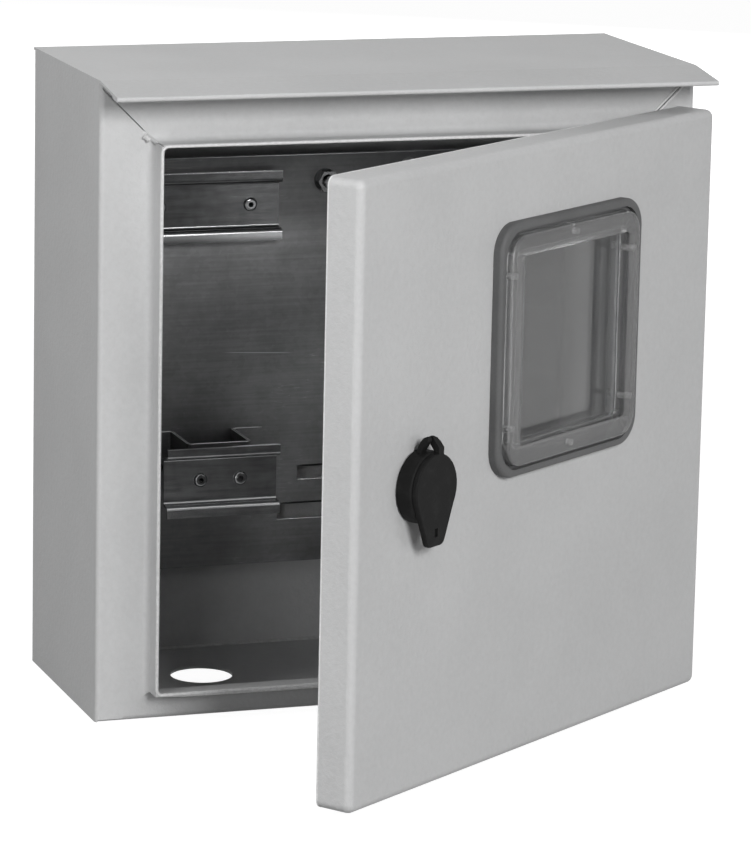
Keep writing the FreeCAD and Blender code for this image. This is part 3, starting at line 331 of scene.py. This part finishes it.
def clear_plastic():
    """Clear moulded plastic: a see-through pane, and a rim and pegs that are milky with moulding haze."""
    finish = new_finish("clear_plastic")
    place = finish.place()
    x, y, z = finish.parts(place)
    pin, window_x, window_z, half = PIN * MM, WINDOW_X * MM, WINDOW_Z * MM, WINDOW_HALF * MM
    along_door = (x - pin.x) * math.cos(DOOR_ANGLE) + (y - pin.y) * math.sin(DOOR_ANGLE)
    across = along_door + (pin.x - window_x)
    rim = abs(across).largest(abs(z - window_z)).eased(half, half + 0.8 * MM)
    flow = finish.noise(finish.stretched(place, (1.0, 1.0, 0.3)), scale=60.0, detail=2.0)
    haze = finish.noise(place, scale=25.0, detail=3.0)
    ripple = finish.relief(flow, strength=0.08, depth=0.4)
    clear = finish.node("ShaderNodeBsdfPrincipled", None, {
        "Base Color": finish.mix(haze.eased(0.3, 0.7), grey(0.79, 0.004), grey(0.85, 0.004)),
        "Roughness": 0.03 + haze * 0.06 + rim * 0.16,
        "Transmission Weight": 1.0,
        "IOR": 1.45,
        "Normal": ripple,
    })
    milky = finish.node("ShaderNodeBsdfPrincipled", None, {
        "Base Color": grey(0.26, 0.004),
        "Roughness": 0.25,
        "Normal": ripple,
    })
    milkiness = rim * 0.2 + haze * 0.06
    return finish.ended(finish.node("ShaderNodeMixShader", None, {0: milkiness, 1: clear, 2: milky}))


def milky_plastic():
    """The thick of the pegs, where the clear plastic has cooled cloudy."""
    finish = new_finish("milky_plastic")
    cloud = finish.noise(finish.place(), scale=300.0, detail=3.0)
    return finish.shaded(
        Base_Color=finish.mix(cloud.eased(0.3, 0.7), grey(0.38), grey(0.58)),
        Roughness=0.3,
        Alpha=0.35 + cloud * 0.3,
    )


def black_plastic():
    """Black moulded plastic with a fine spark-eroded grain."""
    finish = new_finish("black_plastic")
    place = finish.place()
    grain = finish.noise(place, scale=1400.0, detail=2.0, roughness=0.6)
    dust = finish.noise(place, scale=120.0, detail=4.0, roughness=0.65)
    return finish.shaded(
        Base_Color=finish.mix(dust.eased(0.45, 0.8), grey(0.012), grey(0.02)),
        Roughness=0.36 + grain * 0.2,
        Specular_IOR_Level=0.045,
        Normal=finish.relief(grain, strength=0.25, depth=0.2),
    )


# Shapes


def new_piece(name, points, faces, body, material):
    """Makes a smooth mesh piece from points in millimetres, and rides it on a body."""
    mesh = bpy.data.meshes.new(name)
    mesh.from_pydata([tuple(point * MM) for point in points], [], faces)
    mesh.validate()
    mesh.shade_smooth()
    mesh.materials.append(material)
    piece = bpy.data.objects.new(name, mesh)
    bpy.context.scene.collection.objects.link(piece)
    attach(piece, body)
    return piece


def circle(count):
    """The cosine and sine of angles spaced evenly round a circle."""
    angles = [2 * math.pi * i / count for i in range(count)]
    return [(math.cos(angle), math.sin(angle)) for angle in angles]


def ring_faces(rings, count, closed):
    """Quads between rings of points in a row; a closed run joins its last ring to its first."""
    faces = []
    last = rings if closed else rings - 1
    for i in range(last):
        here, there = i * count, (i + 1) % rings * count
        for j in range(count):
            k = (j + 1) % count
            faces.append((here + j, here + k, there + k, there + j))
    if not closed:
        faces.append(tuple(reversed(range(count))))
        faces.append(tuple(range((rings - 1) * count, rings * count)))
    return faces


def lip_loop(radius, steps):
    """Points and outward directions, as X and Z, round the lip, with rounded corners."""
    loop = []
    upper = ((LIP_X, LIP_TOP, 0), (-LIP_X, LIP_TOP, 90))
    lower = ((-LIP_X, LIP_BOTTOM, 180), (LIP_X, LIP_BOTTOM, 270))
    for x, z, start in upper + lower:
        inner_x = x - math.copysign(radius, x)
        inner_z = z - math.copysign(radius, z)
        for i in range(steps + 1):
            angle = math.radians(start + 90 * i / steps)
            out = (math.cos(angle), math.sin(angle))
            loop.append(((inner_x + radius * out[0], inner_z + radius * out[1]), out))
    return loop


def swept_loop(name, loop, section, start_y, turn, body, material):
    """Carries a section, as across and inward, round a loop that starts from a plane of Y."""
    points = []
    for (x, z), (out_x, out_z) in loop:
        for across, up in section:
            points.append(turn @ Vector((x + out_x * across, start_y + up, z + out_z * across)))
    faces = ring_faces(len(loop), len(section), closed=True)
    return new_piece(name, points, faces, body, material)


def straight(start, end, count):
    start, end = Vector(start), Vector(end)
    return [start.lerp(end, i / (count - 1)) for i in range(count)]


def bead(name, path, material, radius, lumps=0.0, across=INWARD, body="case"):
    """A round bead along a path, with blunt ends; a weld's lumps, in radians, make it swell and shrink."""
    sides, end_area, bluntness, ripple = 10, 0.04, 6, 0.16
    points = []
    for i, spot in enumerate(path):
        ahead = path[min(i + 1, len(path) - 1)] - path[max(i - 1, 0)]
        side = ahead.cross(across).normalized()
        up = side.cross(ahead).normalized()
        share = i / (len(path) - 1)
        taper = math.sqrt(max(end_area, 1 - (2 * share - 1) ** bluntness))
        swell = taper * (1 + ripple * math.sin(lumps * share))
        for cosine, sine in circle(sides):
            points.append(spot + (side * cosine + up * sine) * radius * swell)
    new_piece(name, points, ring_faces(len(path), sides, closed=False), body, material)


def door_seal(material):
    """The foamed seal: a crowned loop with a flat foot on the door's inner face."""
    half, tall, shoulder, steps = 5.0, 8.5, 1.5, 10
    crown = [math.pi * i / steps for i in range(steps + 1)]
    section = [(half * math.cos(a), shoulder + (tall - shoulder) * math.sin(a)) for a in crown]
    section += [(-half, 0.0), (half, 0.0)]
    loop = lip_loop(radius=9.0, steps=8)
    piece = swept_loop("seal_loop", loop, section, DOOR_INSIDE_Y, OPENED, "door", material)
    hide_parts("door_seal")


def lip_edge(material):
    """The coat that has gathered in a thick round edge on the lip's front, thickest along its foot, painted
    pale as a highlight.
    """
    radius, front, corner = 0.85, -132.3, 3.0
    section = [(radius * cosine, radius * sine) for cosine, sine in circle(count=14)]
    loop = lip_loop(corner, steps=6)
    swept_loop("lip_edge_coat", loop, section, front, Matrix.Identity(4), "case", material)
    foot_y, foot_z = front + 0.4, LIP_BOTTOM - 0.7
    path = straight((corner - LIP_X, foot_y, foot_z), (LIP_X - corner, foot_y, foot_z), count=41)
    bead("lower_lip_coat", path, material, radius=1.2)


def seam_welds(material):
    """Tack welds at the lower ends of the open mitre seams above the opening."""
    outer_x, outer_y, outer_z = 128.9, -120.6, 129.0
    inner_x, inner_y, inner_z = 126.0, -121.6, 126.3
    for side, name in SIDES:
        path = straight((side * outer_x, outer_y, outer_z), (side * inner_x, inner_y, inner_z), count=9)
        bead(f"seam_tack_{name}", path, material, radius=1.5, lumps=9.0)


def corner_fills(material):
    """The ground weld that closes each mitre down over the lip's bend to its front edge."""
    sheet, bend, sunk = 1.2, 3.5, 0.6
    corner_x, corner_z = 122.3, 124.3
    bend_y, bend_out = CASE_FRONT - bend, sheet + bend
    turns = [math.radians(angle) for angle in range(0, 91, 10)]
    profile = [(sheet, y) for y in (-132.7, -130.0, -127.0)]
    profile += [(bend_out - bend * math.cos(a), bend_y + bend * math.sin(a)) for a in turns]
    profile += [(bend_out + out, CASE_FRONT) for out in (1.0, 2.0)]
    for side, name in SIDES:
        path = [Vector((side * (corner_x + out), y + sunk, corner_z + out)) for out, y in profile]
        bead(f"corner_fill_{name}", path, material, radius=1.1)


def seam_edges(material):
    """The raised edges of the two sheets along the right mitre seam, painted pale as a highlight."""
    low, high, face = 131.0, 147.0, CASE_FRONT - 0.05
    for inset, name in ((3.5, "header"), (1.2, "side")):
        path = straight((low - inset, face, low), (high - inset, face, high), count=9)
        bead(f"{name}_seam_edge", path, material, radius=0.6)


def floor_seam(material):
    """The thin weld that joins the floor to the back."""
    half, y, z = 147.0, -1.6, BASE_Z + 1.6
    path = straight((-half, y, z), (half, y, z), count=61)
    bead("floor_seam_weld", path, material, radius=0.8, lumps=90.0)


def door_edge(material):
    """The thin coat on the cut edge of the door's upper, free and lower sides, painted pale as a highlight.
    """
    free, hung, low, high, corner, back = -144.1, 135.0, -151.1, 135.2, 3.6, -124.9
    runs = 9
    turns = [math.radians(angle) for angle in range(0, 91, 15)]
    along = [hung + (free + corner - hung) * i / runs for i in range(runs)]
    outline = [(x, high) for x in along]
    outline += [(free + corner * (1 - math.sin(a)), high - corner * (1 - math.cos(a))) for a in turns]
    outline += [(free, high - corner + (low - high + 2 * corner) * i / runs) for i in range(1, runs)]
    outline += [(free + corner * (1 - math.cos(a)), low + corner * (1 - math.sin(a))) for a in turns]
    outline += [(x, low) for x in reversed(along)]
    path = [OPENED @ Vector((x, back, z)) for x, z in outline]
    across = OPENED.to_3x3() @ INWARD
    bead("door_edge_coat", path, material, radius=0.5, across=across, body="door")


def peg_hearts(material):
    """The cloudy hearts of the window's six pegs, seen through its clear rim."""
    ends, radius, sides = (-149.6, -137.8), 1.5, 20
    reach, spread = 50.0, 35.5
    places = [(x * reach, z * spread) for x in (-1, 1) for z in (-1, 1)] + [(0, -reach), (0, reach)]
    for index, (across, rise) in enumerate(places, start=1):
        x, z = WINDOW_X + across, WINDOW_Z + rise
        points = []
        for y in ends:
            for cosine, sine in circle(sides):
                points.append(OPENED @ Vector((x + radius * cosine, y, z + radius * sine)))
        faces = ring_faces(len(ends), sides, closed=False)
        new_piece(f"peg_heart_{index}", points, faces, "door", material)


def hinge_welds(material):
    """Fillets of weld above and below the toe of each hinge lug."""
    half_lug = 1.75
    root_x, root_y, toe_x, toe_y = 127.9, -120.5, 128.7, -126.5
    for height, name in ((90.5, "upper"), (-106.5, "lower")):
        for face, place in ((-1, "under"), (1, "top")):
            z = height + face * half_lug
            path = straight((root_x, root_y, z), (toe_x, toe_y, z), count=13)
            bead(f"{name}_lug_weld_{place}", path, material, radius=0.9, lumps=14.0)


def level_run(left, right, y, z):
    """The two ends of a run from left to right."""
    return (left, y, z), (right, y, z)


def bracket_runs():
    """The upper edge of the lower rail's folded bracket, fold by fold."""
    middle, half_web, foot, top = -65.8, 15.75, 15.0, -38.2
    foot_y, web_y = PLATE_Y - 0.75, -43.75
    left, right = middle - half_web, middle + half_web
    folds = ((left - foot, foot_y), (left, foot_y), (left, web_y))
    folds += ((right, web_y), (right, foot_y), (right + foot, foot_y))
    names = ("left_foot_burr_glint", "left_leg_burr_glint", "web_burr", "right_leg_burr", "right_foot_burr")
    return {name: ((*start, top), (*end, top)) for name, start, end in zip(names, folds, folds[1:])}


def burr_glints(material):
    """A thin bead along the upper cut edges of the plate, its slots, the bracket and the rails: partly the
    burr of the cut, partly a painted highlight in pale polished steel.
    """
    plate_half, plate_top, burr_y = 125.5, 99.5, PLATE_Y + 0.3
    upper_left, upper_right, upper_foot_y = -104.3, -27.3, PLATE_Y - 7.0
    lower_left, lower_right, lower_foot_y = -62.0, -36.7, -51.5
    runs = {"plate_top_burr": level_run(-plate_half, plate_half, burr_y, plate_top)}
    for name, (half, low, _) in PLATE_SLOTS.items():
        runs[f"{name}_slot_burr"] = level_run(-half, half, burr_y, low)
    runs.update(bracket_runs())
    runs["upper_rail_burr"] = level_run(upper_left, upper_right, upper_foot_y, UPPER_RAIL_TOP)
    runs["lower_rail_burr"] = level_run(lower_left, lower_right, lower_foot_y, LOWER_RAIL_TOP)
    for name, (start, end) in runs.items():
        slot = "rail_zinc" if "rail" in name else "galvanised"
        bead(name, straight(start, end, count=25), material, radius=0.35, across=UPWARD)


def slot_shoulders(material):
    """The rounded shoulder that the punch drew in along the top of each slot, painted near-black as the
    shadow there.
    """
    for name, (half, _, high) in PLATE_SLOTS.items():
        path = straight(*level_run(-half, half, PLATE_Y + 0.35, high), count=25)
        bead(f"{name}_slot_shoulder", path, material, radius=0.6, across=UPWARD)


def stud_threads(material):
    """The rolled thread on the end of each plate stud: a low ridge that winds round it."""
    lead, turns, per_turn = 0.72, 3, 28
    radius, start_y = 3.0, -21.5
    section = [(-0.42, -0.05), (0.0, 0.28), (0.42, -0.05)]
    rings = turns * per_turn + 1
    faces = ring_faces(rings, len(section), closed=False)
    for x, z, name in ((-2.6, 86.5, "upper"), (-100, -96, "lower_left"), (100, -96, "lower_right")):
        points = []
        for i in range(rings):
            angle = 2 * math.pi * i / per_turn
            y = start_y + lead * i / per_turn
            for along, out in section:
                reach = radius + out
                points.append(Vector((x + reach * math.cos(angle), y + along, z + reach * math.sin(angle))))
        new_piece(f"{name}_stud_thread", points, faces, "case", material)


# Dressing


def dress(finishes):
    """Gives every CAD node the finish of its slot in the record."""
    slots = {part["node"]: part["material_slot"] for part in frame["record"]["subparts"]}
    for node, piece in frame["nodes"].items():
        for place in piece.material_slots:
            place.material = finishes[slots[node]]


def make_finishes():
    return {
        "grey_paint": powder_coat(),
        "weld_paint": lumpy_paint("weld_paint", low=0.5, high=0.6),
        "galvanised": galvanised(),
        "rail_zinc": rail_steel(),
        "rivet_steel": plated("rivet_steel", low=0.2, high=0.34, lines=4.0, rough=0.06),
        "zinc_fixing": plated("fixing_steel", low=0.09, high=0.18, lines=4.0, rough=0.06),
        "hinge_steel": plated("plated_steel", low=0.36, high=0.56, lines=6.0, rough=0.28),
        "seal_foam": rubber("seal_foam", low=0.03, high=0.06, pores=900.0),
        "gasket_rubber": rubber("gasket_rubber", low=0.075, high=0.105, pores=1300.0),
        "clear_window": clear_plastic(),
        "lock_black": black_plastic(),
        "core_zinc": plated("die_cast_zinc", low=0.36, high=0.5, lines=2.0, rough=0.4),
    }


def add_details(finishes):
    """Adds the small pieces that go on the solids: seal, welds, coats and burrs with painted highlights,
    slot shoulders with painted shadow, and threads.
    """
    weld = finishes["weld_paint"]
    # A paler copy of the coat: a painted highlight on the rounded edges it is put on.
    edge_coat_highlight = lumpy_paint("edge_coat_highlight", low=0.66, high=0.76)
    door_seal(finishes["seal_foam"])
    seam_welds(weld)
    corner_fills(finishes["grey_paint"])
    peg_hearts(milky_plastic())
    hinge_welds(weld)
    lip_edge(edge_coat_highlight)
    door_edge(edge_coat_highlight)
    seam_edges(edge_coat_highlight)
    floor_seam(weld)
    # Pale polished steel for the burrs: a painted highlight along the upper edges.
    burr_glints(plated("edge_glint_steel", low=0.8, high=0.9, lines=1.0, rough=0.15))
    # Near-black steel: a painted shadow along the top of each slot.
    slot_shoulders(plated("slot_shoulder_shadow", low=0.02, high=0.035, lines=1.0, rough=0.3))
    stud_threads(finishes["zinc_fixing"])


# Studio

WHITE = (1, 1, 1, 1)


def background_share(finish):
    """1 for rays that show the background, straight or in metal and glass, and 0 for rays that light."""
    path = finish.node("ShaderNodeLightPath").socket.node
    shown = [Wire(finish, path.outputs[f"Is {kind} Ray"]) for kind in ("Camera", "Glossy", "Transmission")]
    return shown[0].largest(shown[1]).largest(shown[2])


def make_world():
    world = bpy.data.worlds.new("studio")
    bpy.context.scene.world = world
    finish = Finish(world)
    ambient = 0.04
    strength = ambient + background_share(finish) * (1.0 - ambient)
    sky = finish.node("ShaderNodeBackground", None, {"Color": WHITE, "Strength": strength})
    finish.node("ShaderNodeOutputWorld", None, {"Surface": sky})


def make_floor():
    """A pale floor that keeps a soft shadow of the box."""
    reach, height = 8.0, (BASE_Z - 0.2) * MM
    shown_level, matt_level = 0.96, 0.2
    mesh = bpy.data.meshes.new("floor")
    corners = [(-reach, -reach), (reach, -reach), (reach, reach), (-reach, reach)]
    mesh.from_pydata([(x, y, height) for x, y in corners], [], [(0, 1, 2, 3)])
    finish = new_finish("pale_floor")
    strength = background_share(finish) * shown_level
    glow = finish.node("ShaderNodeEmission", None, {"Color": WHITE, "Strength": strength})
    matt = finish.node("ShaderNodeBsdfDiffuse", None, {"Color": grey(matt_level)})
    mesh.materials.append(finish.ended(finish.node("ShaderNodeAddShader", None, {0: glow, 1: matt})))
    floor = bpy.data.objects.new("floor", mesh)
    bpy.context.scene.collection.objects.link(floor)


def soft_light(name, place, size, level):
    """A square soft box aimed at the middle of the box; level 1 lights a facing white surface to white."""
    lamp = bpy.data.lights.new(name, "AREA")
    lamp.shape = "SQUARE"
    lamp.size = size
    place = Vector(place)
    lamp.energy = level * math.pi ** 2 * place.length_squared
    holder = bpy.data.objects.new(name, lamp)
    holder.matrix_world = Matrix.Translation(place) @ (-place).to_track_quat("-Z", "Y").to_matrix().to_4x4()
    holder.visible_camera = False
    bpy.context.scene.collection.objects.link(holder)
    return holder


def make_lights():
    soft_light("left_box", place=(-0.85, -0.36, 0.84), size=0.65, level=0.42)
    soft_light("front_box", place=(0.17, -2.6, 1.0), size=0.75, level=0.64)
    soft_light("right_box", place=(1.82, -1.69, 0.1), size=1.2, level=0.165)
    soft_light("near_box", place=(-0.45, -0.61, -0.02), size=0.2, level=0.1)
    back_box = soft_light("back_box", place=(1.3, 2.0, 0.5), size=1.0, level=0.7)
    back_box.visible_glossy = False


def make_camera():
    """The photograph's view: from the front, a little to the left and above, with a long lens."""
    stand = Vector((-725.699, -2167.72, 453.769)) * MM
    azimuth, pitch, roll = -0.331089, 0.215553, 0.020158
    right = Vector((math.cos(azimuth), math.sin(azimuth), 0))
    level = Vector((-math.sin(azimuth), math.cos(azimuth), 0))
    forward = level * math.cos(pitch) - UPWARD * math.sin(pitch)
    up = level * math.sin(pitch) + UPWARD * math.cos(pitch)
    image_right = right * math.cos(roll) + up * math.sin(roll)
    image_up = up * math.cos(roll) - right * math.sin(roll)
    # The image's size, the lens's focal length and the foot of its axis, in pixels
    width, height, focal = 751, 846, 4597.91
    centre_x, centre_y = 353.898, 435.116
    lens = bpy.data.cameras.new("view")
    lens.sensor_width = 36.0
    lens.lens = focal * lens.sensor_width / height
    lens.shift_x = (width / 2 - centre_x) / height
    lens.shift_y = (centre_y - height / 2) / height
    camera = bpy.data.objects.new("view", lens)
    turn = Matrix((image_right, image_up, -forward)).transposed().to_4x4()
    camera.matrix_world = Matrix.Translation(stand) @ turn
    bpy.context.scene.collection.objects.link(camera)
    bpy.context.scene.camera = camera


def main():
    bpy.context.scene.view_settings.view_transform = "Standard"
    finishes = make_finishes()
    dress(finishes)
    add_details(finishes)
    make_world()
    make_floor()
    make_lights()
    make_camera()


main()
